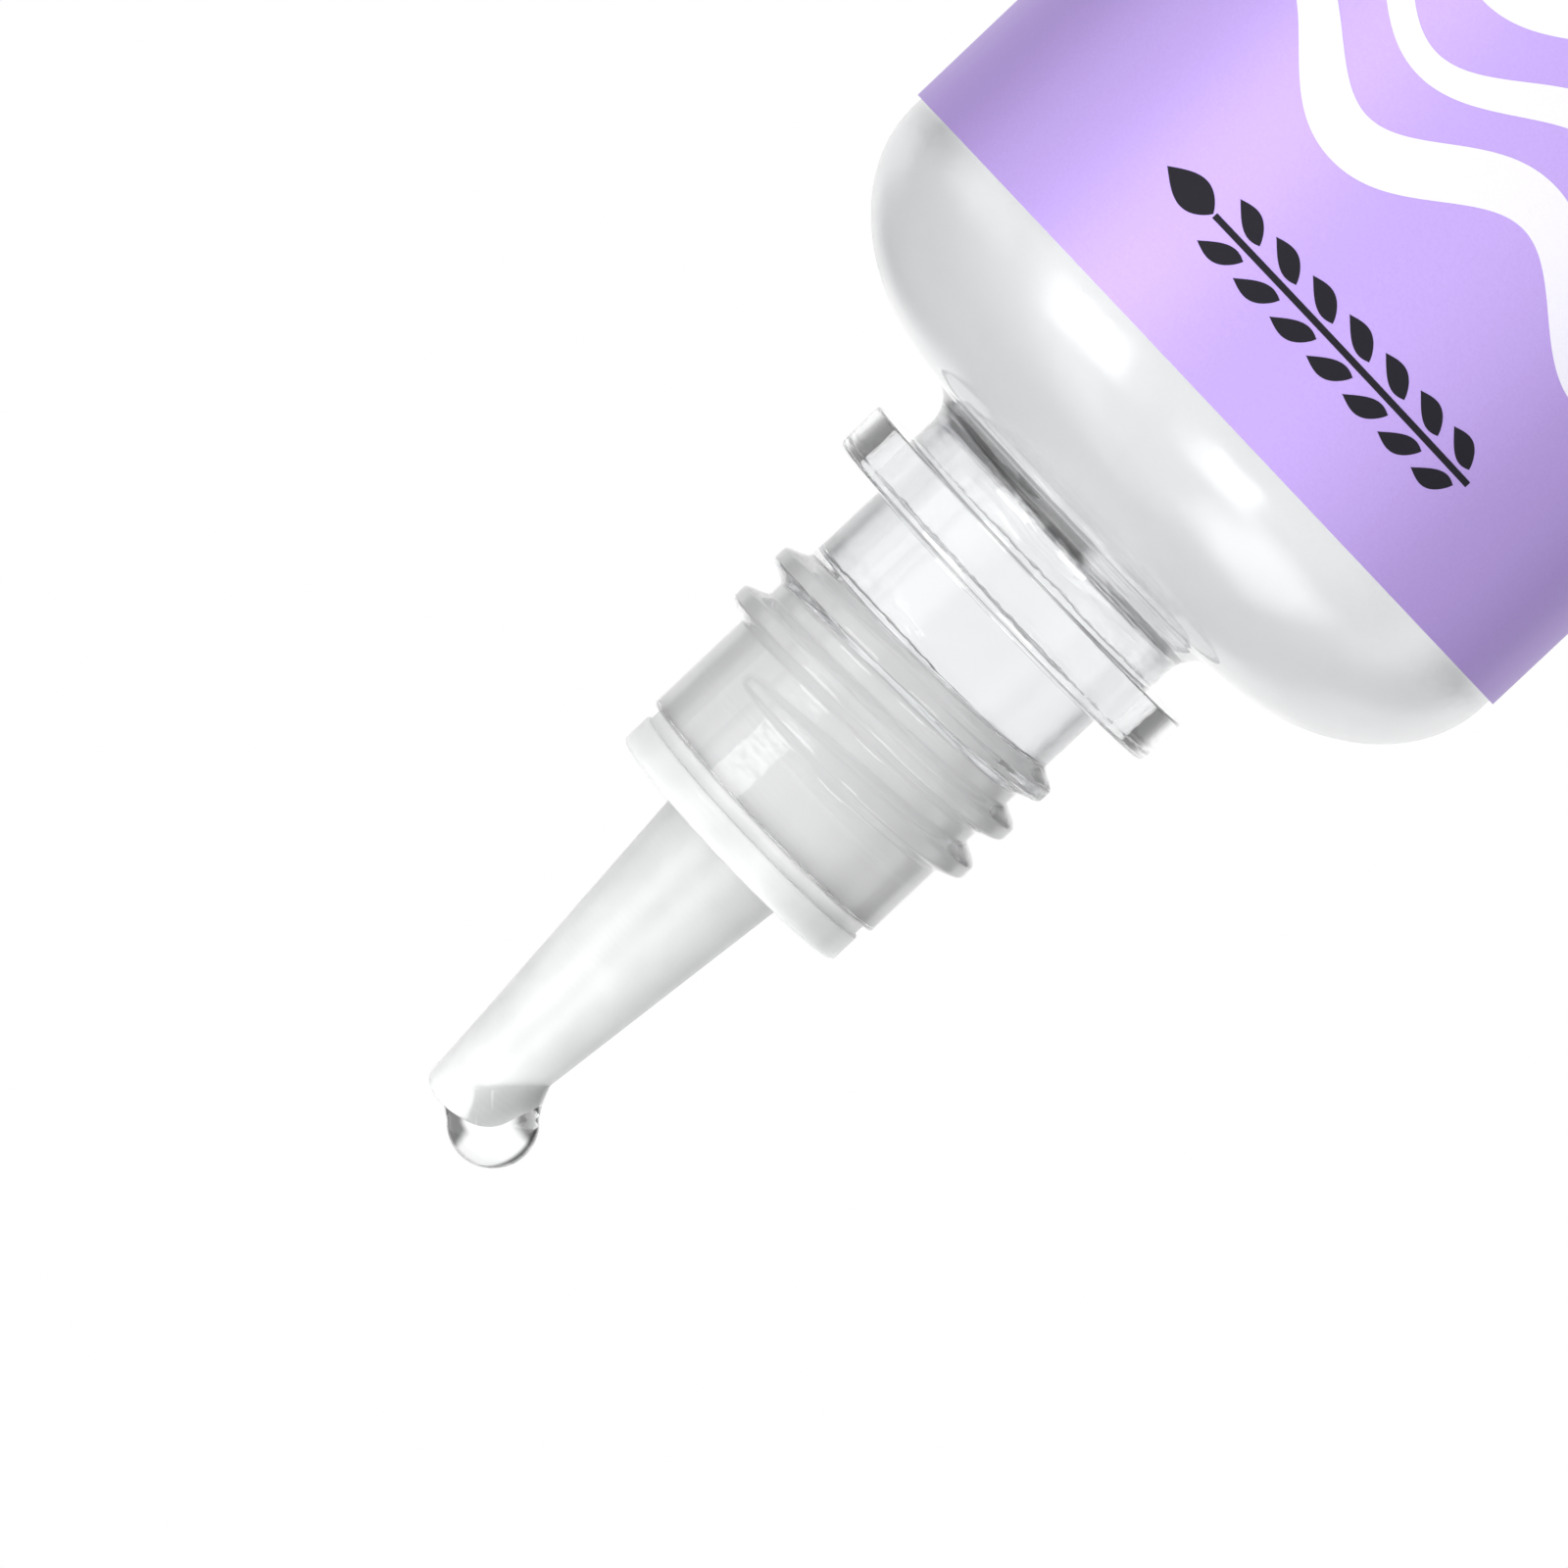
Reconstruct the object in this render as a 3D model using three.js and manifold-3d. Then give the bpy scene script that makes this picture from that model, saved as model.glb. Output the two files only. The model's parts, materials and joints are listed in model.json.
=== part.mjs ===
// Glue applicator bottle: a clear blown bottle with a screw neck, a push-in pointed nozzle,
// a wrap-round film label, the glue inside and the drop that leaves the tip.
// Millimetres, +Z up. The origin is the centre of the standing ring, so the bottle rests on z = 0.
// The front is -Y. Every round piece turns about the Z axis.
import * as THREE from "three";
import { mergeVertices } from "three/addons/utils/BufferGeometryUtils.js";
import Module from "manifold-3d";

const wasm = await Module();
wasm.setup();

// ---------- driving dimensions ----------
const SEGMENTS = 40; // sides of every turned piece
const DEG = Math.PI / 180;
// The glue lies as in a bottle held with its -X side down and its nozzle this far below level.
const HELD_DIP = 43.1 * DEG;

const BODY_R = 17.5; // outside of the straight side
const WALL = 0.8; // side wall
const BASE_CORNER_R = 3.2; // round between side and standing ring
const STAND_IN_R = 11.8; // inner edge of the standing ring
const PUSH_UP = 2.0; // height of the hollow under the base
const FLOOR_T = 1.1; // floor of the bottle beside the hollow
const SHOULDER_Z = 46.4; // where the straight side ends
const SHOULDER_A = 9.5; // shoulder's quarter ellipse, across
const SHOULDER_B = 7.2; // and up
const ROOT_R = 7.3; // neck root, under the transfer ring
const ROOT_FILLET = 0.95;
const RING_Z = 56.2; // underside of the transfer ring
const RING_T = 2.3;
const RING_R = 9.3;
const RING_LOW_CHAMFER = 0.12;
const RING_TOP_ROUND = 0.35;
const NECK_R = 6.69; // plain neck above the ring
const MOUTH_Z = 71.75;
const MOUTH_CHAMFER = 0.42;
const BORE_R = 5.2;
const BORE_FLARE_R = 2.4; // round where the bore opens into the shoulder, across
const BORE_FLARE_UP = 2.6; // and up
const BORE_FLARE_DROP = 0.6; // middle of that round, under the ring
const SHOULDER_EXTRA_WALL = 0.3; // the shoulder's wall over the side wall
const GATE_R = 1.2; // moulding gate nub in the middle of the base
const GATE_H = 0.4; // how far it stands down into the hollow

const THREAD_H = 1.0; // height of the thread over the neck
const THREAD_PITCH = 2.36;
const THREAD_ROOT_W = 1.7; // width of the thread at the neck
const THREAD_CREST_W = 0.45;
const THREAD_TOP_Z = 67.98; // crest height where the thread starts, near the mouth
const THREAD_TOP_DEG = 315; // the angle where it starts
const THREAD_TURN_DEG = 900; // how far it runs, downwards
const THREAD_FADE_DEG = 40; // run-in at each end

const SKIRT_R = 5.06; // nozzle's plug, in the bore
const SKIRT_IN_R = 4.2;
const SKIRT_LOW_Z = 62.2;
const SKIRT_LEAD_R = 0.35; // lead-in chamfer at the plug's lower edge, across
const SKIRT_LEAD_Z = 0.6; // and up
const BEAD_H = 0.08; // sealing beads on the plug
const BEAD_FOOT = 0.3; // half width at the foot
const BEAD_TOP = 0.1; // half width on top
const BEAD_ZS = [65.2, 69.2];
const SEAT_GAP = 0.1; // between the flange and the mouth
const LIP_R = 6.3; // lower step of the flange
const LIP_T = 0.65;
const FLANGE_R = 6.46;
const FLANGE_TOP_Z = 73.85;
const FLANGE_WEB_T = 1.1; // top web of the flange
const FLANGE_EDGE = 0.2; // chamfer of its top edge
const STEP_CHAMFER = 0.1; // slope from the lip out to the flange
const CONE_FOOT = 0.3; // slope where the cone stands on the flange
const WEB_CORNER = 0.3; // chamfer between the plug's inside and the web
const BORE_ENTRY = 0.5; // how much wider the cone's bore starts at the web
const CONE_BASE_R = 3.32;
const CONE_END_Z = 90.9; // the cone as moulded, before the tip is cut off
const CONE_TAPER = 0.0962; // loss of radius per millimetre of height
const CONE_WALL = 0.85;
const CUT_Z = 89.4; // height of the slanting cut on the axis
const CUT_TILT_X = 10 * DEG; // lower towards -X
const CUT_TILT_Y = 20 * DEG; // lower towards +Y

const LABEL_LOW_Z = 4.6;
const LABEL_TOP_Z = 46.0;
const LABEL_T = 0.15;
const LABEL_GAP = 0.1; // between film and bottle
const LABEL_LAP_GAP = 0.05;
const LABEL_LAP_DEG = 11; // overlap
const LABEL_LAP_AT_DEG = 135; // behind and to one side, out of sight from the front
const LABEL_RAMP_DEG = 8; // where the outer end climbs over the inner one
const LABEL_STEPS = 80;

const GLUE_GAP = 0.12; // between the glue and the wall that holds it
const GLUE_TOP_Z = 61.6; // where the bottle's glue meets the glue in the plug
const SURFACE_OFFSET = -4.3; // level surface over the origin in the held pose, which leaves 38 ml of glue
const GLUE_CORE_GAP = 0.25; // between the glue and the nozzle's bore
const CORE_LOW_GAP = 0.2; // from the plug's lower edge up to the glue in it
const DROP_LONG = 3.85; // drop's reach from the tip
const DROP_WIDE = 2.6; // half width along the slant
const DROP_DEEP = 2.15; // half width from front to back
const DROP_BACK = 1.0; // how far it climbs back over the nozzle
const DROP_X = -0.2;
const DROP_Z = 87.95;
const DROP_STANDOFF = 0.28; // between the drop and the nozzle
const DROP_NECK_BACK = 2.0; // the neck of glue that joins drop and bore, back from the cut
const DROP_NECK_OUT = 0.9; // and out from it

// ---------- helpers ----------
// Points of an elliptical arc, from angle a to angle b in degrees.
function arc(cx, cz, rx, rz, a, b, steps) {
  const points = [];
  for (let i = 0; i <= steps; i++) {
    const t = (a + ((b - a) * i) / steps) * DEG;
    points.push([cx + rx * Math.cos(t), cz + rz * Math.sin(t)]);
  }
  return points;
}

// A closed profile [radius, height] turned about Z. It starts and ends on the axis, or closes on itself.
function turned(profile) {
  const points = profile.map(([r, z]) => new THREE.Vector2(Math.max(r, 0), z));
  const geometry = new THREE.LatheGeometry(points, SEGMENTS);
  return geometry.rotateX(Math.PI / 2);
}

// A closed three.js geometry as a manifold-3d solid.
function solid(geometry) {
  const bare = geometry.index ? geometry.clone() : geometry;
  bare.deleteAttribute("normal");
  bare.deleteAttribute("uv");
  const merged = mergeVertices(bare, 1e-4);
  const made = new wasm.Manifold(
    new wasm.Mesh({
      numProp: 3,
      vertProperties: merged.attributes.position.array,
      triVerts: new Uint32Array(merged.index.array),
    }),
  );
  if (made.volume() < 0) throw new Error("a profile runs the wrong way round");
  return made;
}

// A manifold-3d solid as a three.js geometry.
function geometryOf(made) {
  const mesh = made.getMesh();
  const count = mesh.vertProperties.length / mesh.numProp;
  const positions = new Float32Array(count * 3);
  for (let i = 0; i < count; i++)
    for (let k = 0; k < 3; k++)
      positions[i * 3 + k] = mesh.vertProperties[i * mesh.numProp + k];
  const geometry = new THREE.BufferGeometry();
  geometry.setAttribute("position", new THREE.BufferAttribute(positions, 3));
  geometry.setIndex(new THREE.BufferAttribute(new Uint32Array(mesh.triVerts), 1));
  geometry.computeVertexNormals();
  return geometry;
}

// ---------- bottle ----------
function bottleOutside() {
  const shoulderX = BODY_R - SHOULDER_A;
  const rootTop = SHOULDER_Z + SHOULDER_B + ROOT_FILLET;
  const round = RING_TOP_ROUND;
  return [
    [0, PUSH_UP - GATE_H],
    [GATE_R, PUSH_UP - GATE_H],
    [GATE_R + 0.2, PUSH_UP - 0.05],
    ...arc(0, 0.25, STAND_IN_R - 0.5, PUSH_UP - 0.25, 80, 12, 4),
    [STAND_IN_R, 0],
    ...arc(BODY_R - BASE_CORNER_R, BASE_CORNER_R, BASE_CORNER_R, BASE_CORNER_R, -90, 0, 4),
    ...arc(shoulderX, SHOULDER_Z, SHOULDER_A, SHOULDER_B, 0, 86, 9),
    ...arc(ROOT_R + ROOT_FILLET, rootTop, ROOT_FILLET, ROOT_FILLET, 250, 180, 3),
    [ROOT_R, RING_Z],
    [RING_R - RING_LOW_CHAMFER, RING_Z],
    [RING_R, RING_Z + RING_LOW_CHAMFER],
    ...arc(RING_R - round, RING_Z + RING_T - round, round, round, 0, 90, 2),
    [NECK_R, RING_Z + RING_T],
    [NECK_R, MOUTH_Z - MOUTH_CHAMFER],
    [NECK_R - MOUTH_CHAMFER, MOUTH_Z],
  ];
}

// The hollow of the bottle, offset inwards by gap, from the bottom of the hollow up to height top.
function bottleInside(gap, top) {
  const shoulderX = BODY_R - SHOULDER_A;
  const sideR = BODY_R - WALL - gap;
  const cornerR = BASE_CORNER_R - WALL;
  const floorZ = FLOOR_T + gap;
  const shoulderUp = SHOULDER_B - WALL - SHOULDER_EXTRA_WALL - gap;
  const flareR = BORE_R - gap + BORE_FLARE_R;
  const flareZ = RING_Z - BORE_FLARE_DROP;
  return [
    [0, PUSH_UP + 1.0 + gap],
    ...arc(0, floorZ, STAND_IN_R + 0.6, PUSH_UP + 1.0 - FLOOR_T, 84, 14, 4),
    ...arc(sideR - cornerR, floorZ + cornerR, cornerR, cornerR, -80, 0, 3),
    ...arc(shoulderX, SHOULDER_Z, sideR - shoulderX, shoulderUp, 0, 80, 7),
    ...arc(flareR, flareZ, BORE_FLARE_R, BORE_FLARE_UP, 235, 180, 3),
    [BORE_R - gap, top],
  ];
}

// The thread as one closed helical bar, its foot sunk in the neck wall and its ends run out.
function threadBar() {
  const step = 360 / SEGMENTS;
  const count = Math.round(THREAD_TURN_DEG / step);
  const footR = (NECK_R + BORE_R) / 2;
  const positions = [];
  const index = [];
  for (let i = 0; i <= count; i++) {
    const down = i * step;
    const angle = (THREAD_TOP_DEG - down) * DEG;
    const z = THREAD_TOP_Z - (down / 360) * THREAD_PITCH;
    const end = Math.min(down, count * step - down) / THREAD_FADE_DEG;
    const share = Math.sin(Math.min(end, 1) * 90 * DEG);
    const crestR = NECK_R - 0.12 + (THREAD_H + 0.12) * share;
    const section = [
      [footR, -THREAD_ROOT_W / 2],
      [NECK_R - 0.1, -THREAD_ROOT_W / 2],
      [crestR, -THREAD_CREST_W / 2],
      [crestR, THREAD_CREST_W / 2],
      [NECK_R - 0.1, THREAD_ROOT_W / 2],
      [footR, THREAD_ROOT_W / 2],
    ];
    for (const [r, dz] of section) positions.push(r * Math.cos(angle), r * Math.sin(angle), z + dz);
  }
  const ring = 6;
  for (let i = 0; i < count; i++)
    for (let k = 0; k < ring; k++) {
      const a = i * ring + k;
      const b = i * ring + ((k + 1) % ring);
      index.push(a, b, b + ring, a, b + ring, a + ring);
    }
  const last = count * ring;
  for (let k = 1; k < ring - 1; k++) {
    index.push(0, k + 1, k);
    index.push(last, last + k, last + k + 1);
  }
  const geometry = new THREE.BufferGeometry();
  geometry.setAttribute("position", new THREE.Float32BufferAttribute(positions, 3));
  geometry.setIndex(index);
  return geometry;
}

function bottleGeometry() {
  const inside = bottleInside(0, MOUTH_Z).reverse();
  const shell = solid(turned([...bottleOutside(), ...inside]));
  const bar = threadBar();
  return geometryOf(shell.add(solid(bar)));
}

// ---------- nozzle ----------
const coneR = (z) => CONE_BASE_R - CONE_TAPER * (z - FLANGE_TOP_Z);

function skirtBead(z) {
  return [
    [SKIRT_R, z - BEAD_FOOT],
    [SKIRT_R + BEAD_H, z - BEAD_TOP],
    [SKIRT_R + BEAD_H, z + BEAD_TOP],
    [SKIRT_R, z + BEAD_FOOT],
  ];
}

function nozzleOutside() {
  const seatZ = MOUTH_Z + SEAT_GAP;
  return [
    [SKIRT_IN_R, SKIRT_LOW_Z],
    [SKIRT_R - SKIRT_LEAD_R, SKIRT_LOW_Z],
    [SKIRT_R, SKIRT_LOW_Z + SKIRT_LEAD_Z],
    ...BEAD_ZS.flatMap(skirtBead),
    [SKIRT_R, seatZ],
    [LIP_R, seatZ],
    [LIP_R, seatZ + LIP_T],
    [FLANGE_R, seatZ + LIP_T + STEP_CHAMFER],
    [FLANGE_R, FLANGE_TOP_Z - FLANGE_EDGE],
    [FLANGE_R - FLANGE_EDGE, FLANGE_TOP_Z],
    [CONE_BASE_R + CONE_FOOT, FLANGE_TOP_Z],
    [coneR(FLANGE_TOP_Z + CONE_FOOT), FLANGE_TOP_Z + CONE_FOOT],
    [coneR(CONE_END_Z), CONE_END_Z],
  ];
}

// The nozzle's hollow from the tip down: the tapered bore, then the wide inside of the plug.
function nozzleInside(gap) {
  const webZ = FLANGE_TOP_Z - FLANGE_WEB_T;
  return [
    [coneR(CONE_END_Z) - CONE_WALL - gap, CONE_END_Z],
    [coneR(FLANGE_TOP_Z) - CONE_WALL - gap, FLANGE_TOP_Z],
    [coneR(webZ) - CONE_WALL - gap + BORE_ENTRY, webZ - gap],
    [SKIRT_IN_R - WEB_CORNER - gap, webZ - gap],
    [SKIRT_IN_R - gap, webZ - WEB_CORNER - gap],
  ];
}

// A block that covers everything beyond the slanting cut, moved along the axis by offset.
function beyondCut(offset) {
  const size = 30;
  const block = new THREE.BoxGeometry(size, size, size);
  block.translate(0, 0, size / 2);
  block.rotateY(-CUT_TILT_X);
  block.rotateX(-CUT_TILT_Y);
  block.translate(0, 0, CUT_Z + offset);
  return solid(block);
}

function nozzleGeometry() {
  const profile = [...nozzleOutside(), ...nozzleInside(0)];
  const whole = solid(turned([...profile, profile[0]]));
  return geometryOf(whole.subtract(beyondCut(0)));
}

// ---------- label ----------
// The film seen from above: one turn and a lap, each end square.
function labelGeometry() {
  const innerR = BODY_R + LABEL_GAP;
  const climb = LABEL_T + LABEL_LAP_GAP;
  const whole = 360 + LABEL_LAP_DEG;
  const radiusAt = (deg) => {
    const rise = (deg - (360 - LABEL_RAMP_DEG)) / LABEL_RAMP_DEG;
    const share = Math.min(Math.max(rise, 0), 1);
    return innerR + climb * share;
  };
  const edge = (extra) => {
    const points = [];
    for (let i = 0; i <= LABEL_STEPS; i++) {
      const deg = (whole * i) / LABEL_STEPS;
      const angle = (LABEL_LAP_AT_DEG - LABEL_LAP_DEG / 2 + deg) * DEG;
      const r = radiusAt(deg) + extra;
      points.push(new THREE.Vector2(r * Math.cos(angle), r * Math.sin(angle)));
    }
    return points;
  };
  const outline = [...edge(LABEL_T), ...edge(0).reverse()];
  const geometry = new THREE.ExtrudeGeometry(new THREE.Shape(outline), {
    depth: LABEL_TOP_Z - LABEL_LOW_Z,
    bevelEnabled: false,
  });
  return geometry.translate(0, 0, LABEL_LOW_Z);
}

// ---------- glue ----------
// The air of the held bottle: a block with its lower face on the level surface.
function airBlock() {
  const size = 120;
  const block = new THREE.BoxGeometry(size, size, size);
  block.translate(0, 0, size / 2 + SURFACE_OFFSET);
  block.rotateY(90 * DEG + HELD_DIP);
  return solid(block);
}

function glueFillGeometry() {
  const full = solid(turned([...bottleInside(GLUE_GAP, GLUE_TOP_Z), [0, GLUE_TOP_Z]]));
  return geometryOf(full.subtract(airBlock()));
}

// The glue in the plug and the nozzle's bore, up to the slanting cut.
function glueCore() {
  const bore = nozzleInside(GLUE_CORE_GAP).reverse();
  const low = SKIRT_LOW_Z + CORE_LOW_GAP;
  const core = solid(turned([[0, low], [SKIRT_IN_R - GLUE_CORE_GAP, low], ...bore, [0, CONE_END_Z]]));
  return core.subtract(beyondCut(0));
}

// Everything the drop has to stand off from: the cone, and the solid side of the cut.
function nozzleTipEnvelope() {
  const low = 80;
  const high = CONE_END_Z + 1;
  const cone = solid(
    turned([
      [0, low],
      [coneR(low) + DROP_STANDOFF, low],
      [coneR(high) + DROP_STANDOFF, high],
      [0, high],
    ]),
  );
  return cone.subtract(beyondCut(DROP_STANDOFF));
}

// A pendant drop: a round front that hangs from the tip and a flatter back that climbs over it.
function dropBody() {
  const ball = new THREE.SphereGeometry(1, 24, 16).rotateX(Math.PI / 2);
  const place = ball.getAttribute("position");
  for (let i = 0; i < place.count; i++) {
    const along = place.getZ(i);
    const reach = along > 0 ? DROP_LONG : DROP_BACK;
    place.setXYZ(i, place.getX(i) * DROP_WIDE, place.getY(i) * DROP_DEEP, along * reach);
  }
  ball.rotateY(HELD_DIP - 90 * DEG);
  ball.translate(DROP_X, 0, DROP_Z);
  return solid(ball);
}

function glueDropGeometry() {
  const drop = dropBody().subtract(nozzleTipEnvelope());
  // A short neck joins the bore to the drop across the standoff.
  const neckR = coneR(CUT_Z) - CONE_WALL - GLUE_CORE_GAP;
  const neck = solid(
    turned([
      [0, CUT_Z - DROP_NECK_BACK],
      [neckR, CUT_Z - DROP_NECK_BACK],
      [neckR, CUT_Z + DROP_NECK_OUT],
      [0, CUT_Z + DROP_NECK_OUT],
    ]),
  ).intersect(dropBody());
  const parts = drop.add(neck).add(glueCore()).decompose();
  parts.sort((a, b) => b.volume() - a.volume());
  return geometryOf(parts[0]);
}

// ---------- the object ----------
const bottle = new THREE.Group();
function piece(name, geometry, colour, roughness) {
  const material = new THREE.MeshStandardMaterial({ color: colour, roughness, metalness: 0 });
  const mesh = new THREE.Mesh(geometry, material);
  mesh.name = name;
  bottle.add(mesh);
}

piece("bottle", bottleGeometry(), 0xe9ecee, 0.05);
piece("nozzle", nozzleGeometry(), 0xeef0ee, 0.35);
piece("label", labelGeometry(), 0xa890d6, 0.35);
piece("glue_fill", glueFillGeometry(), 0xdfe2e4, 0.05);
piece("glue_drop", glueDropGeometry(), 0xf2f5f6, 0.03);

export default bottle;
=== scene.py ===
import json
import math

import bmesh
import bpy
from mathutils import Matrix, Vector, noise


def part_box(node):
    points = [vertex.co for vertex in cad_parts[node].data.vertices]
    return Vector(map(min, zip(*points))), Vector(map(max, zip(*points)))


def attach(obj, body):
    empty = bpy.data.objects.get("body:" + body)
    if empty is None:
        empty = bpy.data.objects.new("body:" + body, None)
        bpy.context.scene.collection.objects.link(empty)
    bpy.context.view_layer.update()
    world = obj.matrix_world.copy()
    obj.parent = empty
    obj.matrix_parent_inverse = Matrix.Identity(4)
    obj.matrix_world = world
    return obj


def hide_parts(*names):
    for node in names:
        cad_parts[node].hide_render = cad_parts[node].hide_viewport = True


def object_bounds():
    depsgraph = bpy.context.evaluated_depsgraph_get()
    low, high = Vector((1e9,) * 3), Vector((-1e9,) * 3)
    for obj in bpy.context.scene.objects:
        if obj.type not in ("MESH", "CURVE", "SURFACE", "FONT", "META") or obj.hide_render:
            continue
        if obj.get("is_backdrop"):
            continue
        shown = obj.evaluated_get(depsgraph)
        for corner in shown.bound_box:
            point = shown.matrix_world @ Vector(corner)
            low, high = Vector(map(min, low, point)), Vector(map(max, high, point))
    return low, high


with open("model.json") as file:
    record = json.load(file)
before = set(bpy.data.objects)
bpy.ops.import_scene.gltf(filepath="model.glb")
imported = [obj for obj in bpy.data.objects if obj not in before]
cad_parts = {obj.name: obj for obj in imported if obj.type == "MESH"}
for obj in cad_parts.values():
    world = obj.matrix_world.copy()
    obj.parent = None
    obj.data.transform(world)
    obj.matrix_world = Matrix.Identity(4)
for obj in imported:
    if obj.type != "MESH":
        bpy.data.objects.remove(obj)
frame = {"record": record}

# %% [markdown]
# # A squeeze bottle of clear glue
# The object is a small clear bottle with a screw neck, a milky push-in nozzle, a purple film label
# and clear glue, caught while one drop hangs at the tip. Nearly everything in it is turned, so most
# pieces start as a profile, and the hard part is light: clear plastic is seen only by what it bends.
# This first step measures the fixed frame, for the main radii and heights. The sizes that the boxes
# don't give, such as walls and roundings, are named values in millimetres beside each piece.

MM = 0.001  # metres in a millimetre: the sizes below are millimetres until a mesh is made
cad_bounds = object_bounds()
mounts = {m["name"]: m for m in frame["record"]["mounts"]}


def box_mm(node):
    """A CAD node's lowest and highest corners, in millimetres."""
    low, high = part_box(node)
    return low / MM, high / MM


_, bottle_high = box_mm("bottle")
nozzle_low, nozzle_high = box_mm("nozzle")
label_low, label_high = box_mm("label")
body_r = bottle_high.x
mouth_z = bottle_high.z
ring_low_z = mounts["ring_underside"]["pos_m"][2] / MM
ring_top_z = mounts["ring_top"]["pos_m"][2] / MM
label_top_z = label_high.z
print(f"body radius {body_r:.2f}, ring {ring_low_z:.2f} to {ring_top_z:.2f}, mouth {mouth_z:.2f} mm")

# %% [markdown]
# ## The camera
# The bottle stands upright in the frame, but it is seen as it is held in use: nozzle down, a good
# 43 degrees below level. Turning the whole object would move the frame, so the camera rolls
# instead. It stands level with the label's top edge and far back, which keeps the cone's sides true.

# %% Camera, rolled to the pouring pose
held_dip = math.radians(43.4)  # how far below level the nozzle points in this view
camera_away = 354.0
view_width = 66.7  # what the view spans at the bottle's axis
sensor = 36.0

pour_up = Vector((math.sin(math.pi / 2 - held_dip), 0, -math.sin(held_dip)))  # up, as the bottle is held
aim = Vector((0.4, 0, label_top_z + 24.2))
stand = Vector((0, -camera_away, label_top_z))

camera_data = bpy.data.cameras.new("studio_camera")
camera_data.sensor_width = sensor
camera_data.lens = sensor * (aim - stand).length / view_width
camera_data.clip_start = 0.01
camera = bpy.data.objects.new("studio_camera", camera_data)
bpy.context.scene.collection.objects.link(camera)
backward = (stand - aim).normalized()
upward = (pour_up - backward * pour_up.dot(backward)).normalized()
rightward = upward.cross(backward)
rolled = Matrix((rightward, upward, backward)).transposed().to_4x4()
camera.matrix_world = Matrix.Translation(stand * MM) @ rolled
bpy.context.scene.camera = camera
print(f"lens {camera_data.lens:.0f} mm, {camera_away:.0f} mm away")

# %% [markdown]
# ## Formulas as nodes
# Node trees hold formulas as chains of Math nodes, which are tiring to read and to write. A small
# wrapper round a socket lets Python's own + - * / make those nodes, so a formula below reads as a
# formula in both geometry and shader trees.

# %% A field: one number that varies over a surface
TURN = 2 * math.pi


class Field:
    """A number coming out of a node. Arithmetic on it adds Math nodes to its tree."""

    def __init__(self, socket):
        self.socket = socket
        self.tree = socket.id_data

    def math(self, operation, *others):
        node = self.tree.nodes.new("ShaderNodeMath")
        node.operation = operation
        for put, value in zip(node.inputs, (self, *others)):
            if isinstance(value, Field):
                self.tree.links.new(value.socket, put)
            else:
                put.default_value = value
        return Field(node.outputs[0])

    def __add__(self, other):
        return self.math("ADD", other)

    def __sub__(self, other):
        return self.math("SUBTRACT", other)

    def __mul__(self, other):
        return self.math("MULTIPLY", other)

    def __truediv__(self, other):
        return self.math("DIVIDE", other)

    def __neg__(self):
        return self * -1.0

    def __abs__(self):
        return self.math("ABSOLUTE")

    def clamp(self):
        """Kept between 0 and 1."""
        return self.math("MAXIMUM", 0.0).math("MINIMUM", 1.0)

    def smooth(self):
        """Eased from 0 to 1, flat at both ends."""
        t = self.clamp()
        return t * t * (-(t * 2.0) + 3.0)

    def between(self, low, high):
        """Eased from 0 at low to 1 at high."""
        return ((self - low) / (high - low)).smooth()


def components(tree, vector):
    """The x, y and z of a vector socket, as fields."""
    split = tree.nodes.new("ShaderNodeSeparateXYZ")
    tree.links.new(vector, split.inputs[0])
    return [Field(s) for s in split.outputs]


def vector_of(tree, x, y, z):
    """A vector socket made from three fields or numbers."""
    join = tree.nodes.new("ShaderNodeCombineXYZ")
    for put, value in zip(join.inputs, (x, y, z)):
        if isinstance(value, Field):
            tree.links.new(value.socket, put)
        else:
            put.default_value = value
    return join.outputs[0]


def new_tree(name, kind, inputs, outputs):
    """A node group with named sockets: inputs are {name: (type, default)} and outputs {name: type}."""
    tree = bpy.data.node_groups.new(name, kind)
    for label, (socket_type, default) in inputs.items():
        made = tree.interface.new_socket(label, in_out="INPUT", socket_type=socket_type)
        if default is not None:
            made.default_value = default
    for label, socket_type in outputs.items():
        tree.interface.new_socket(label, in_out="OUTPUT", socket_type=socket_type)
    return tree, tree.nodes.new("NodeGroupInput").outputs, tree.nodes.new("NodeGroupOutput").inputs


print("fields add, multiply and ease")

# %% [markdown]
# ## Finishes shared by several materials
# Two effects come back in many plastics here. Moulded plastic is never optically flat: it has a
# slow ripple from shrinking, and fine rings from the tool that turned the mould. Film and matte
# skins have a fine grain instead. Each effect is one group, placed in a material with its own sizes.

# %% The ripple of a moulded surface
FLOAT = "NodeSocketFloat"
VECTOR = "NodeSocketVector"


def group_node(material_tree, group, **values):
    """The group placed in a material, with its inputs set by name."""
    node = material_tree.nodes.new("ShaderNodeGroup")
    node.node_tree = group
    for label, value in values.items():
        node.inputs[label.replace("_", " ")].default_value = value
    return node


def noise_field(tree, vector, scale, detail=2.0, roughness=0.5):
    """Noise at a vector socket. The scale is a field or a number, per metre."""
    node = tree.nodes.new("ShaderNodeTexNoise")
    node.inputs["Detail"].default_value = detail
    node.inputs["Roughness"].default_value = roughness
    tree.links.new(vector, node.inputs["Vector"])
    if isinstance(scale, Field):
        tree.links.new(scale.socket, node.inputs["Scale"])
    else:
        node.inputs["Scale"].default_value = scale
    return Field(node.outputs[0])


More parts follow.
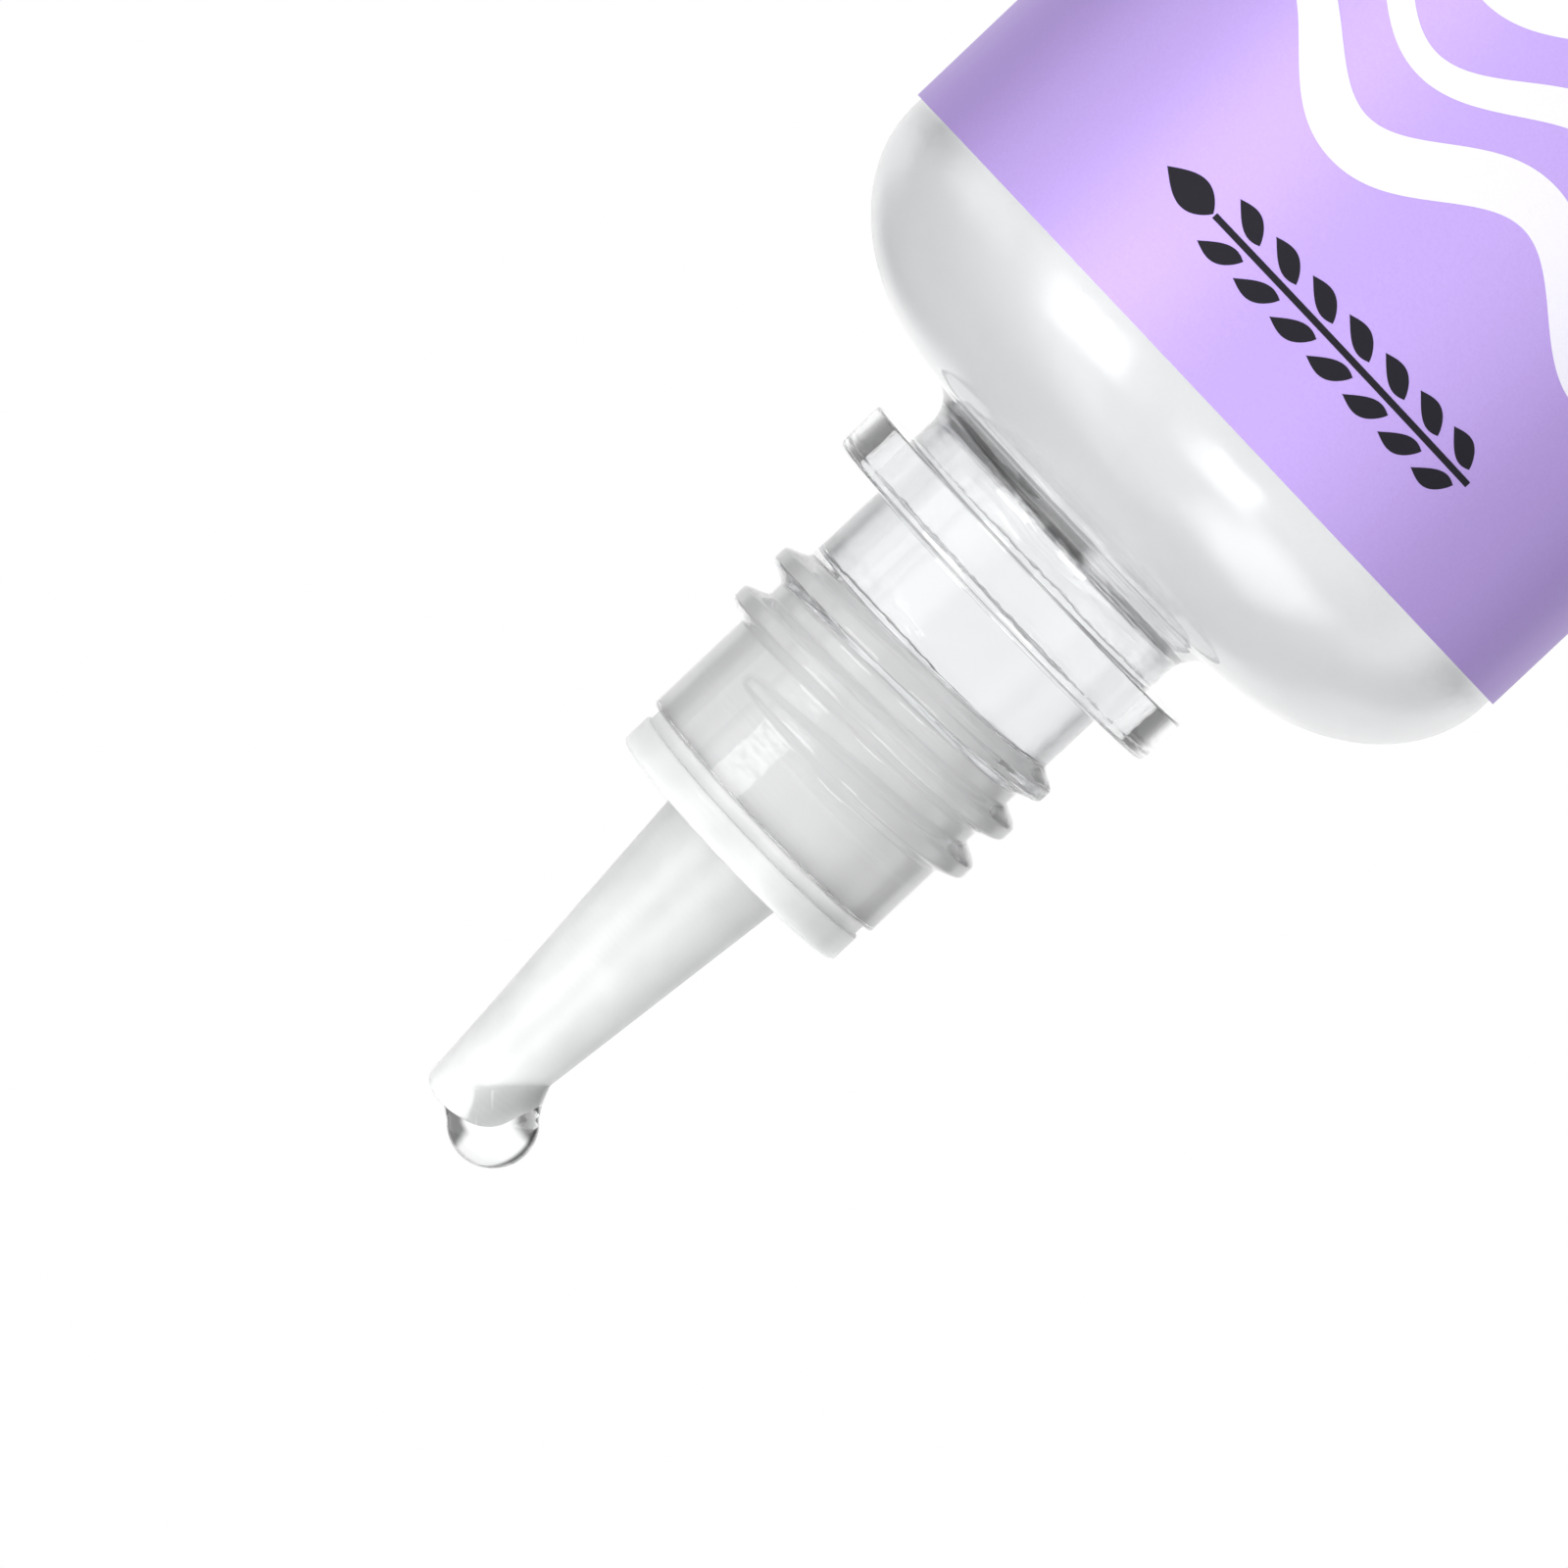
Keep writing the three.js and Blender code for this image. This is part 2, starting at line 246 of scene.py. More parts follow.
def bump_from(tree, height, distance):
    """A normal socket from a height in metres."""
    node = tree.nodes.new("ShaderNodeBump")
    tree.links.new(height.socket, node.inputs["Height"])
    node.inputs["Strength"].default_value = 1.0
    node.inputs["Distance"].default_value = distance
    return node.outputs[0]


def build_moulded_group():
    """Moulded ripple: slow shrink waves, fine turning rings and a faint orange peel."""
    tree, given, gives = new_tree(
        "Moulded ripple",
        "ShaderNodeTree",
        {
            "Wave height": (FLOAT, 0.02),
            "Wave length": (FLOAT, 6.0),
            "Ring height": (FLOAT, 0.002),
            "Ring pitch": (FLOAT, 0.25),
            "Peel height": (FLOAT, 0.002),
            "Peel size": (FLOAT, 0.4),
        },
        {"Normal": VECTOR, "Cloud": FLOAT},
    )
    ring_drift = 4.0  # how far the slow waves bend the rings, in radians
    value = {s.name: Field(s) for s in given if s.name}
    here = tree.nodes.new("ShaderNodeTexCoord").outputs["Object"]
    _, _, z = components(tree, here)
    waves = noise_field(tree, here, Field.math(value["Wave length"] * MM, "POWER", -1.0))
    peel = noise_field(tree, here, Field.math(value["Peel size"] * MM, "POWER", -1.0), detail=1.0)
    rings = (z / (value["Ring pitch"] * MM) * TURN + waves * ring_drift).math("SINE")
    height = waves * value["Wave height"] + rings * value["Ring height"] + peel * value["Peel height"]
    tree.links.new(bump_from(tree, height * MM, 1.0), gives["Normal"])
    tree.links.new(waves.socket, gives["Cloud"])
    return tree


def build_grain_group():
    """Fine grain: a speckle for roughness and colour, and a normal for the sheen."""
    tree, given, gives = new_tree(
        "Fine grain",
        "ShaderNodeTree",
        {
            "Grain size": (FLOAT, 0.09),
            "Grain height": (FLOAT, 0.001),
            "Rough low": (FLOAT, 0.3),
            "Rough high": (FLOAT, 0.4),
        },
        {"Normal": VECTOR, "Roughness": FLOAT, "Speckle": FLOAT},
    )
    smear_scale = 220.0  # per metre: patches a few millimetres wide
    value = {s.name: Field(s) for s in given if s.name}
    here = tree.nodes.new("ShaderNodeTexCoord").outputs["Object"]
    speckle = noise_field(tree, here, Field.math(value["Grain size"] * MM, "POWER", -1.0), detail=2.5)
    smear = noise_field(tree, here, smear_scale)
    spread = value["Rough high"] - value["Rough low"]
    rough = value["Rough low"] + spread * (speckle * 0.5 + smear * 0.5)
    height = speckle * value["Grain height"] * MM
    tree.links.new(bump_from(tree, height, 1.0), gives["Normal"])
    tree.links.new(rough.clamp().socket, gives["Roughness"])
    tree.links.new(speckle.socket, gives["Speckle"])
    return tree


moulded_group = build_moulded_group()
grain_group = build_grain_group()
print("groups:", moulded_group.name, "and", grain_group.name)

# %% [markdown]
# ## The materials
# Clear PET and the glue are refractive, with constant transmission, and get their life from the
# ripple in their normals. The PET is frosted below the waist and faintly along the thread, and
# polished between them. The nozzle is natural polythene, cloudy because it scatters nearly all the
# light inside and lets only a little straight through. The label is a satin film over a purple print
# with some metal in it, so its colour stays even and the film's grain breaks up the highlights.

# %% Material helpers and the clear plastics


def new_material(name, **constants):
    """A material whose Principled shader has these constant sockets."""
    material = bpy.data.materials.new(name)
    material.use_nodes = True
    shader = material.node_tree.nodes["Principled BSDF"]
    for label, value in constants.items():
        shader.inputs[label.replace("_", " ")].default_value = value
    return material, material.node_tree, shader


def tinted(tree, mask, dark, light, put):
    """Colour that runs from dark to light with a mask, linked into put."""
    mix = tree.nodes.new("ShaderNodeMix")
    mix.data_type = "RGBA"
    mix.inputs["A"].default_value = (*dark, 1)
    mix.inputs["B"].default_value = (*light, 1)
    tree.links.new(mask, mix.inputs["Factor"])
    tree.links.new(mix.outputs["Result"], put)


def clear_material(name, ior, roughness, tint_low, tint_high, clearness=1.0, frost=None, **ripple):
    """A clear moulded or liquid material, tinted a little by its own cloud.

    Frost is a function from height to a mask, and the roughness where the mask is 1.
    """
    material, tree, shader = new_material(name, Transmission_Weight=clearness, IOR=ior, Roughness=roughness)
    moulded = group_node(tree, moulded_group, **ripple)
    tree.links.new(moulded.outputs["Normal"], shader.inputs["Normal"])
    tinted(tree, moulded.outputs["Cloud"], tint_low, tint_high, shader.inputs["Base Color"])
    if frost:
        mask_at, most = frost
        _, _, z = components(tree, tree.nodes.new("ShaderNodeTexCoord").outputs["Object"])
        tree.links.new((mask_at(z) * (most - roughness) + roughness).socket, shader.inputs["Roughness"])
    return material


def frosted(z):
    """1 on the body, 0 from the waist to the thread, and a little along the thread."""
    body = -z.between(52.0 * MM, 53.6 * MM) + 1.0
    along_thread = z.between(62.4 * MM, 62.8 * MM) * 0.3
    return body.math("MAXIMUM", along_thread)


clear_plastic = clear_material(
    "clear bottle plastic", 1.55, 0.02, (0.92, 0.925, 0.935), (0.96, 0.965, 0.97),
    clearness=0.94, frost=(frosted, 0.2),
    Wave_height=0.03, Wave_length=7.0, Ring_height=0.0001, Ring_pitch=0.34, Peel_height=0.005, Peel_size=0.6,
)
clear_glue = clear_material(
    "clear glue", 1.42, 0.0, (0.955, 0.96, 0.965), (0.985, 0.99, 0.99),
    Wave_height=0.01, Wave_length=9.0, Ring_height=0.0, Ring_pitch=1.0, Peel_height=0.0, Peel_size=1.0,
)


def paint_waist_shade(material):
    """Painted shade: greys a crescent on the front, where the shoulder meets the waist, as a dark line there.
    """
    painted_shade_grey = (0.2, 0.2, 0.2, 1)
    low_z, high_z = 53.6, 54.12  # its two edges, in millimetres
    slope, level_at = 0.05, 7.3  # the high edge falls by this towards +X, from here
    tree = material.node_tree
    put = tree.nodes["Principled BSDF"].inputs["Base Color"]
    plain = put.links[0].from_socket
    x, y, z = components(tree, tree.nodes.new("ShaderNodeTexCoord").outputs["Object"])
    aside, up = x / MM, z / MM
    top = (-aside + level_at) * slope + high_z
    # the mask of the painted shade: a crescent just above the waist's lower edge
    crescent = up.between(low_z, low_z + 0.12) * (top - up).between(-0.05, 0.07)
    crescent = crescent * aside.between(-2.0, -0.9) * (-y / MM).between(0.5, 1.5)
    mix = tree.nodes.new("ShaderNodeMix")
    mix.data_type = "RGBA"
    mix.inputs["B"].default_value = painted_shade_grey
    tree.links.new(crescent.socket, mix.inputs["Factor"])
    tree.links.new(plain, mix.inputs["A"])
    tree.links.new(mix.outputs["Result"], put)


# Painted shade: a grey crescent in the clear plastic's colour, at the front of the waist.
paint_waist_shade(clear_plastic)
print("clear:", clear_plastic.name, "and", clear_glue.name)

# %% Milky nozzle plastic


def build_milky():
    """Natural polythene: white scattering inside and a little see-through.

    The plug is painted paler than the spout, as painted light that makes up for the light the clear wall
    round it takes, and the tip is painted a little paler too.
    """
    material, tree, shader = new_material(
        "natural nozzle plastic", Transmission_Weight=0.04, IOR=1.51,
        Subsurface_Weight=1.0, Subsurface_Scale=2 * MM, Subsurface_Radius=(1.0, 1.0, 1.0),
    )
    moulded = group_node(
        tree, moulded_group, Wave_height=0.015, Wave_length=4.0, Ring_height=0.0015, Ring_pitch=0.3,
        Peel_height=0.0015, Peel_size=0.25,
    )
    grain = group_node(tree, grain_group, Grain_size=0.2, Grain_height=0.0, Rough_low=0.3, Rough_high=0.42)
    tree.links.new(moulded.outputs["Normal"], shader.inputs["Normal"])
    tree.links.new(grain.outputs["Roughness"], shader.inputs["Roughness"])
    _, _, z = components(tree, tree.nodes.new("ShaderNodeTexCoord").outputs["Object"])
    # Painted light: the plug in the neck and the tip are painted paler; the cloud is the plastic's own uneven
    # tone.
    painted_plug_light = -z.between((mouth_z - 0.5) * MM, (mouth_z + 0.5) * MM) * 0.6 + 0.6
    painted_tip_light = z.between(86 * MM, 88 * MM) * 0.1
    cloud_and_painted_light = (Field(moulded.outputs["Cloud"]) * 0.4 + painted_plug_light + painted_tip_light).clamp()
    tinted(tree, cloud_and_painted_light.socket, (0.44, 0.45, 0.45), (0.985, 0.985, 0.98), shader.inputs["Base Color"])
    return material


milky_plastic = build_milky()
print("milky:", milky_plastic.name)

# %% Label film and the two inks


def film_material(name, dark, light, rough_low, rough_high, gloss=0.5, metal=0.0):
    """A printed film: an even colour with a fine speckle, under a satin skin."""
    material, tree, shader = new_material(name, IOR=1.5, Specular_IOR_Level=gloss, Metallic=metal)
    grain = group_node(
        tree, grain_group, Grain_size=0.11, Grain_height=0.0016, Rough_low=rough_low, Rough_high=rough_high
    )
    tree.links.new(grain.outputs["Normal"], shader.inputs["Normal"])
    tree.links.new(grain.outputs["Roughness"], shader.inputs["Roughness"])
    tinted(tree, grain.outputs["Speckle"], dark, light, shader.inputs["Base Color"])
    return material


def build_film_back():
    """The film's white back, seen through the glue, with painted shade: darker deep in the bottle than near
    the shoulder.

    Its faint glow is painted light, standing for the light that soaks through the film and the glue.
    """
    material, tree, shader = new_material(
        "white back of the film", Roughness=0.6, Emission_Color=(1, 1, 1, 1), Emission_Strength=0.26,
        Subsurface_Weight=1.0, Subsurface_Scale=20 * MM, Subsurface_Radius=(1.0, 1.0, 1.0),
    )
    _, _, z = components(tree, tree.nodes.new("ShaderNodeTexCoord").outputs["Object"])
    # Painted shade and light: the white back goes grey deep in the bottle, and it glows faintly.
    painted_light_near_top = z.between(24 * MM, 42 * MM)
    tinted(tree, painted_light_near_top.socket, (0.22, 0.21, 0.24), (0.99, 0.985, 0.99), shader.inputs["Base Color"])
    return material


film_back = build_film_back()
label_film = film_material(
    "purple label film", (0.36, 0.255, 0.575), (0.425, 0.31, 0.66), 0.4, 0.54, metal=0.55
)
dark_ink = film_material("dark ink", (0.006, 0.005, 0.009), (0.010, 0.009, 0.014), 0.5, 0.6, gloss=0.15)
white_ink = film_material("white ink", (0.56, 0.545, 0.61), (0.62, 0.605, 0.67), 0.4, 0.52)
print("films:", label_film.name, dark_ink.name, white_ink.name)

# %% [markdown]
# ## Turning a profile
# A potter's wheel in Geometry Nodes: the object's own mesh is a line of profile points, radius
# along X and height along Z. A grid gets one column for each step round and one row for each
# profile point, every grid point takes its place from the profile, and the seam and the poles are
# merged. The screw thread is in the same tree, as a bulge of the neck that winds down, so bottle
# and thread are one skin with no join for light to catch on.

# %% The turning tree


def build_turning_tree():
    """Profile line in, turned piece out, with an optional screw thread on its outside."""
    number = {
        "Sides": ("NodeSocketInt", 160),
        "Material": ("NodeSocketMaterial", None),
        "Thread height": (FLOAT, 0.0),
        "Thread half width": (FLOAT, 1.0),
        "Thread pitch": (FLOAT, 2.0),
        "Thread top": (FLOAT, 0.0),
        "Thread start angle": (FLOAT, 0.0),
        "Thread turned angle": (FLOAT, 0.0),
        "Thread run in": (FLOAT, 0.7),
        "Thread least radius": (FLOAT, 0.0),
    }
    tree, given, gives = new_tree(
        "Turned piece", "GeometryNodeTree", {"Profile": ("NodeSocketGeometry", None), **number},
        {"Piece": "NodeSocketGeometry"},
    )
    tree.is_modifier = True
    link = tree.links.new
    value = {s.name: Field(s) for s in given if s.name in number}

    size = tree.nodes.new("GeometryNodeAttributeDomainSize")
    link(given["Profile"], size.inputs[0])
    rows = Field(size.outputs["Point Count"])
    grid = tree.nodes.new("GeometryNodeMeshGrid")
    link((value["Sides"] + 1.0).socket, grid.inputs["Vertices X"])
    link(rows.socket, grid.inputs["Vertices Y"])

    index = Field(tree.nodes.new("GeometryNodeInputIndex").outputs[0])
    column = ((index + 0.5) / rows).math("FLOOR")
    sample = tree.nodes.new("GeometryNodeSampleIndex")
    sample.data_type = "FLOAT_VECTOR"
    link(given["Profile"], sample.inputs["Geometry"])
    link(tree.nodes.new("GeometryNodeInputPosition").outputs[0], sample.inputs["Value"])
    link((index - column * rows).socket, sample.inputs["Index"])
    radius, _, height = components(tree, sample.outputs["Value"])
    angle = column / value["Sides"] * TURN

    swell, thin_end, flank = 0.8, 0.35, 0.72  # the run-in's curve, its first width and the slope's share
    down = (value["Thread start angle"] - angle).math("FLOORED_MODULO", TURN)
    turns_down = (value["Thread top"] - height) / value["Thread pitch"]
    lap = (turns_down - down / TURN).math("ROUND").math("MAXIMUM", 0.0)
    wound = down + lap * TURN
    left = value["Thread turned angle"] - wound
    share = (wound.math("MINIMUM", left) / value["Thread run in"]).clamp().math("POWER", swell)
    off = abs(height - value["Thread top"] + wound / TURN * value["Thread pitch"])
    reach = off / (value["Thread half width"] * (share * (1 - thin_end) + thin_end))
    crest = ((-reach + 1.0) / flank).smooth() * share
    outside = radius.math("GREATER_THAN", value["Thread least radius"])
    bulge = crest * value["Thread height"] * outside
    turned_r = radius + bulge
    place = vector_of(tree, turned_r * angle.math("COSINE"), turned_r * angle.math("SINE"), height)

    chain = [
        ("GeometryNodeSetPosition", {"Position": place}),
        ("GeometryNodeMergeByDistance", {}),
        ("GeometryNodeSetShadeSmooth", {}),
        ("GeometryNodeRealizeInstances", {}),
        ("GeometryNodeSetMaterial", {"Material": given["Material"]}),
    ]
    at = grid.outputs["Mesh"]
    for kind, extra in chain:
        node = tree.nodes.new(kind)
        link(at, node.inputs[0])
        for label, socket in extra.items():
            link(socket, node.inputs[label])
        if kind == "GeometryNodeMergeByDistance":
            node.inputs["Distance"].default_value = 1e-4 * MM
        at = node.outputs[0]
    link(at, gives["Piece"])
    return tree


turning_tree = build_turning_tree()
print("turning tree with", len(turning_tree.nodes), "nodes")

# %% [markdown]
# ## Writing profiles
# A profile is a short list of corners, each with its own rounding. Real edges are never sharp, and
# a rounded edge is what gives clear plastic its thin bright lines. Long straight stretches get a
# few holding points near their ends, so that smooth shading doesn't bend the light across them.

# %% Corners, arcs and holding points


def arc(cr, cz, rr, rz, start, end, steps):
    """Points of an elliptical arc between two angles in degrees, as corners with no rounding."""
    angles = [math.radians(start + (end - start) * i / steps) for i in range(steps + 1)]
    return [(cr + rr * math.cos(a), cz + rz * math.sin(a), 0.0) for a in angles]


def rounded(corners, steps=6):
    """Replaces each corner that has a rounding by an arc tangent to both its sides."""
    points = []
    for i, (r, z, rounding) in enumerate(corners):
        here = Vector((r, z))
        if rounding <= 0 or i in (0, len(corners) - 1):
            points.append(here)
            continue
        before = Vector(corners[i - 1][:2]) - here
        after = Vector(corners[i + 1][:2]) - here
        half = before.angle(after) / 2
        run = min(rounding / math.tan(half), 0.49 * before.length, 0.49 * after.length)
        first = here + before.normalized() * run
        last = here + after.normalized() * run
        for k in range(steps + 1):
            t = k / steps
            points.append(first * (1 - t) ** 2 + here * 2 * t * (1 - t) + last * t**2)
    return points


def spaced(points, longest):
    """Splits stretches so that none is longer than longest(point), with holding points at the ends."""
    hold = 0.12
    result = [points[0]]
    for a, b in zip(points, points[1:]):
        length = (b - a).length
        if length < 1e-6:
            continue
        count = math.ceil(length / longest((a + b) / 2))
        shares = {k / count for k in range(1, count)}
        if length > 4 * hold:
            shares |= {hold / length, 1 - hold / length}
        result += [a.lerp(b, s) for s in sorted(shares)] + [b]
    return result


def finished_copy(source, name):
    """The evaluated object as a plain mesh object. The source is removed."""
    mesh = bpy.data.meshes.new_from_object(source.evaluated_get(bpy.context.evaluated_depsgraph_get()))
    piece = bpy.data.objects.new(name, mesh)
    bpy.context.scene.collection.objects.link(piece)
    mesh.name = name
    bpy.data.objects.remove(source)
    return piece


def facing_out(piece):
    """Turns all the faces round if the closed mesh is inside out."""
    work = bmesh.new()
    work.from_mesh(piece.data)
    if work.calc_volume(signed=True) < 0:
        bmesh.ops.reverse_faces(work, faces=work.faces)
    open_edges = sum(1 for e in work.edges if not e.is_manifold)
    volume = work.calc_volume() / MM**3
    work.to_mesh(piece.data)
    work.free()
    for face in piece.data.polygons:
        face.use_smooth = True
    print(f"{piece.name}: {len(piece.data.polygons)} faces, {volume / 1000:.2f} ml, {open_edges} open edges")
    return piece


def turned(name, points, sides, material, **thread):
    """A turned piece from profile points in millimetres."""
    line = bpy.data.meshes.new(name + "_profile")
    places = [(r * MM, 0, z * MM) for r, z in points]
    line.from_pydata(places, [(i, i + 1) for i in range(len(points) - 1)], [])
    source = bpy.data.objects.new(name + "_profile", line)
    bpy.context.scene.collection.objects.link(source)
    modifier = source.modifiers.new("turning", "NODES")
    modifier.node_group = turning_tree
    sockets = {s.name: s.identifier for s in turning_tree.interface.items_tree if s.in_out == "INPUT"}
    modifier[sockets["Sides"]] = sides
    modifier[sockets["Material"]] = material
    for label, value in thread.items():
        modifier[sockets[label.replace("_", " ")]] = value
    return facing_out(finished_copy(source, name))


print("profiles have corners, arcs and holding points")

# %% [markdown]
# ## The bottle
# The body is blown and the neck is moulded, in one clear plastic: a straight wall, a shoulder that
# is a quarter of an ellipse, a waist, the transfer ring that carries the bottle through the filling
# machine, the neck with its thread, and the mouth. The inside is nearly true in the neck and a
# little uneven below it, as blown walls are, and that unevenness makes the streaks and dark lines
# in the waist. One dark crescent on the front, where the shoulder meets the waist, is painted shade
# in the plastic's colour.

# %% Sizes of the bottle
wall = 0.8
floor_t = 1.1
base_corner_r = 3.2
stand_in_r = 11.8
push_up = 2.0
gate_r = 1.2
gate_h = 0.4
shoulder_z = 46.4
shoulder_across = 9.5
shoulder_up = 7.2
shoulder_wall = 1.1  # thicker than the side: blowing thins the wall as it travels
waist_r = 7.3
waist_fillet = 1.4
ring_r = 9.3
neck_r = 6.69
bore_r = 5.2
bore_flare_r = 2.4  # where the bore opens into the shoulder
bore_flare_up = 2.6
bottle_sides = 184

thread = {
    "Thread_height": 1.0 * MM,
    "Thread_half_width": 0.92 * MM,
    "Thread_pitch": 2.36 * MM,
    "Thread_top": 67.98 * MM,
    "Thread_start_angle": math.radians(315),
    "Thread_turned_angle": math.radians(900),
    "Thread_run_in": math.radians(55),
    "Thread_least_radius": (neck_r - 0.3) * MM,
}
thread_low, thread_high = 60.9, 69.4  # the stretch of neck that needs fine rows
fine_row, wide_row = 0.075, 1.2
base_zone_z = 4.0  # up to here the inner wall is the base's, and true


def outside_corners():
    """The outer skin, from the middle of the base up to the mouth."""
    elbow = body_r - base_corner_r
    root = shoulder_z + shoulder_up + waist_fillet
    return [
        (0, push_up - gate_h, 0),
        (gate_r, push_up - gate_h, 0.12),
        (gate_r + 0.25, push_up - 0.05, 0.12),
        *arc(0, 0.25, stand_in_r - 0.5, push_up - 0.25, 80, 12, 24),
        (stand_in_r, 0.0, 0.3),
        *arc(elbow, base_corner_r, base_corner_r, base_corner_r, -90, 0, 16),
        *arc(body_r - shoulder_across, shoulder_z, shoulder_across, shoulder_up, 0, 86, 40),
        *arc(waist_r + waist_fillet, root, waist_fillet, waist_fillet, 250, 180, 12),
        (waist_r, ring_low_z, 0.12),
        (ring_r, ring_low_z, 0.14),
        (ring_r, ring_top_z, 0.32),
        (neck_r, ring_top_z, 0.22),
        (neck_r, thread_low, 0),
        (neck_r, thread_high, 0),
        (neck_r, mouth_z, 0.45),
    ]


def inside_corners(grow, top):
    """The hollow, from the middle of the base up to a height, moved outwards by grow."""
    side_r = body_r - wall + grow
    corner_r = base_corner_r - wall
    floor_z = floor_t - grow
    middle = body_r - shoulder_across
    return [
        (0, push_up + 1.0 - grow, 0),
        *arc(0, floor_z, stand_in_r + 0.6, push_up - 0.1, 84, 14, 20),
        *arc(side_r - corner_r, floor_z + corner_r, corner_r, corner_r, -80, 0, 12),
        *arc(middle, shoulder_z, side_r - middle, shoulder_up - shoulder_wall + grow, 0, 80, 36),
        *arc(bore_r + grow + bore_flare_r, ring_low_z - 0.6, bore_flare_r, bore_flare_up, 235, 180, 12),
        (bore_r + grow, top, 0),
    ]


def row_step(point):
    """Rows are close together where the thread winds, and wide elsewhere."""
    on_thread = point.x > neck_r - 0.1 and point.x < neck_r + 0.1 and thread_low < point.y < thread_high
    return fine_row if on_thread else wide_row


print(f"body {2 * body_r:.1f} mm across, bore {2 * bore_r:.1f} mm")

# %% Turn the bottle and make its blown wall uneven


def blown_offset(place):
    """How far the blown inner wall lies off true at a point, in millimetres: none in the neck."""
    slow_swing, quick_swing, pinch_swing = 0.10, 0.05, 0.35
    blown = min(max((ring_low_z - 0.4 - place.z) / 1.6, 0.0), 1.0)
    pinch = math.exp(-((place.z - (shoulder_z + shoulder_up + 0.2)) / 1.0) ** 2)
    slow = noise.noise(place * 0.16)
    quick = noise.noise(Vector((place.x, place.y, place.z * 0.6)) * 0.55 + Vector((7, 3, 1)))
    folds = pinch_swing * pinch * noise.noise(place * 0.3)
    return blown * (slow_swing * slow + quick_swing * quick + folds)


def uneven(mesh, on_wall):
    """Moves the vertices of the blown inner wall in or out along the radius."""
    for vertex in mesh.vertices:
        place = vertex.co / MM
        radius = math.hypot(place.x, place.y)
        if radius > 0.5 and on_wall(radius, place.z):
            push = blown_offset(place)
            vertex.co.x *= (radius + push) / radius
            vertex.co.y *= (radius + push) / radius


def shell_middle_r(z):
    """A radius between the bottle's two skins, above the base."""
    if z < shoulder_z:
        return body_r - wall / 2
    rise = (z - shoulder_z) / (shoulder_up - shoulder_wall / 2)
    if rise < 1:
        middle = body_r - shoulder_across
        return middle + (shoulder_across - wall / 2) * math.sqrt(1 - rise * rise)
    return (waist_r + bore_r) / 2


outer_skin = spaced(rounded(outside_corners()), row_step)
inner_skin = spaced(rounded(inside_corners(0, mouth_z)), row_step)
lip = [Vector((bore_r + 0.12, mouth_z)), Vector((bore_r, mouth_z - 0.12))]
bottle = turned("bottle_shell", outer_skin + lip + inner_skin[-2::-1], bottle_sides, clear_plastic, **thread)
uneven(bottle.data, lambda r, z: z > base_zone_z and r < shell_middle_r(z))
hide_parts("bottle")
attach(bottle, "bottle")

# %% [markdown]
# ## The nozzle
# One milky moulding: a plug with two sealing beads that sits in the bore, a stepped flange that
# stops it on the mouth, and a tapered spout with its end cut at a slant. The slant is made by
# leaning the last millimetres of the turned spout, which keeps the rounded rim whole.

# %% Turn the nozzle and lean its end
plug_r = bore_r + 0.02  # pressed into the neck, so no air lies between them
plug_in_r = 4.2
plug_low_z = nozzle_low.z
bead_h = 0.08
bead_zs = (65.2, 69.2)
seat_z = mouth_z - 0.01  # the flange sits on the mouth, wet with glue
flange_r = nozzle_high.x
flange_low_r = 6.3
flange_low_t = 0.65
flange_top_z = 73.85
web_t = 1.1
cone_r = 3.32
cone_taper = 0.0962
cone_wall = 0.85
bore_entry = 0.5  # how much wider the spout's bore starts at the web
cut_z = 89.4
cut_lean_x = math.tan(math.radians(10))
cut_lean_y = -math.tan(math.radians(20))
lean_from = cut_z - 4.0
nozzle_row = 0.8
nozzle_sides = 160


def spout_r(z):
    """Outer radius of the spout at a height."""
    return cone_r - cone_taper * (z - flange_top_z)


def bead(z):
    """A low rounded ridge round the plug."""
    return [(plug_r, z - 0.3, 0.1), (plug_r + bead_h, z, 0.1), (plug_r, z + 0.3, 0.1)]


def nozzle_corners():
    """From the plug's lower edge up the outside, over the tip and back down the bore."""
    web_z = flange_top_z - web_t
    return [
        (plug_in_r, plug_low_z, 0),
        (plug_r - 0.35, plug_low_z, 0.12),
        (plug_r, plug_low_z + 0.6, 0.3),
        *bead(bead_zs[0]),
        *bead(bead_zs[1]),
        (plug_r, seat_z, 0.12),
        (flange_low_r, seat_z, 0.1),
        (flange_low_r, seat_z + flange_low_t, 0.03),
        (flange_r, seat_z + flange_low_t + 0.06, 0.06),
        (flange_r, flange_top_z, 0.22),
        (cone_r, flange_top_z, 0.3),
        (spout_r(cut_z), cut_z, 0.32),
        (spout_r(cut_z) - cone_wall, cut_z, 0.25),
        (spout_r(web_z) - cone_wall + bore_entry, web_z, 0.3),
        (plug_in_r, web_z, 0.4),
        (plug_in_r, plug_low_z, 0),
    ]


def lean_end(mesh):
    """Leans everything near the tip so that the end is cut at a slant."""
    for vertex in mesh.vertices:
        x, y, z = vertex.co / MM
        share = min(max((z - lean_from) / (cut_z - lean_from), 0.0), 1.0)
        vertex.co.z += share**2 * (cut_lean_x * x + cut_lean_y * y) * MM


nozzle_points = spaced(rounded(nozzle_corners()), lambda p: nozzle_row)
nozzle = turned("nozzle_moulding", nozzle_points, nozzle_sides, milky_plastic)
lean_end(nozzle.data)
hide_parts("nozzle")
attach(nozzle, "nozzle")

# %% [markdown]
# ## The glue
# Liquid wets its bottle, so there is no film of air between them. Two surfaces in the same place
# flicker, and a gap would shine like a mirror. So the glue is made a few hundredths of a millimetre
# too big, which bends the light by the right amount on its way through. Its open surface is level
# in the pouring pose, so it slants in the upright bottle, low at the base's far corner.

# %% The glue in the bottle
wetting = 0.03  # how far the glue runs into the wall
glue_top_z = 62.26
level_offset = -4.3  # height of the open surface over the base's middle, when the bottle is held
glue_sides = 160

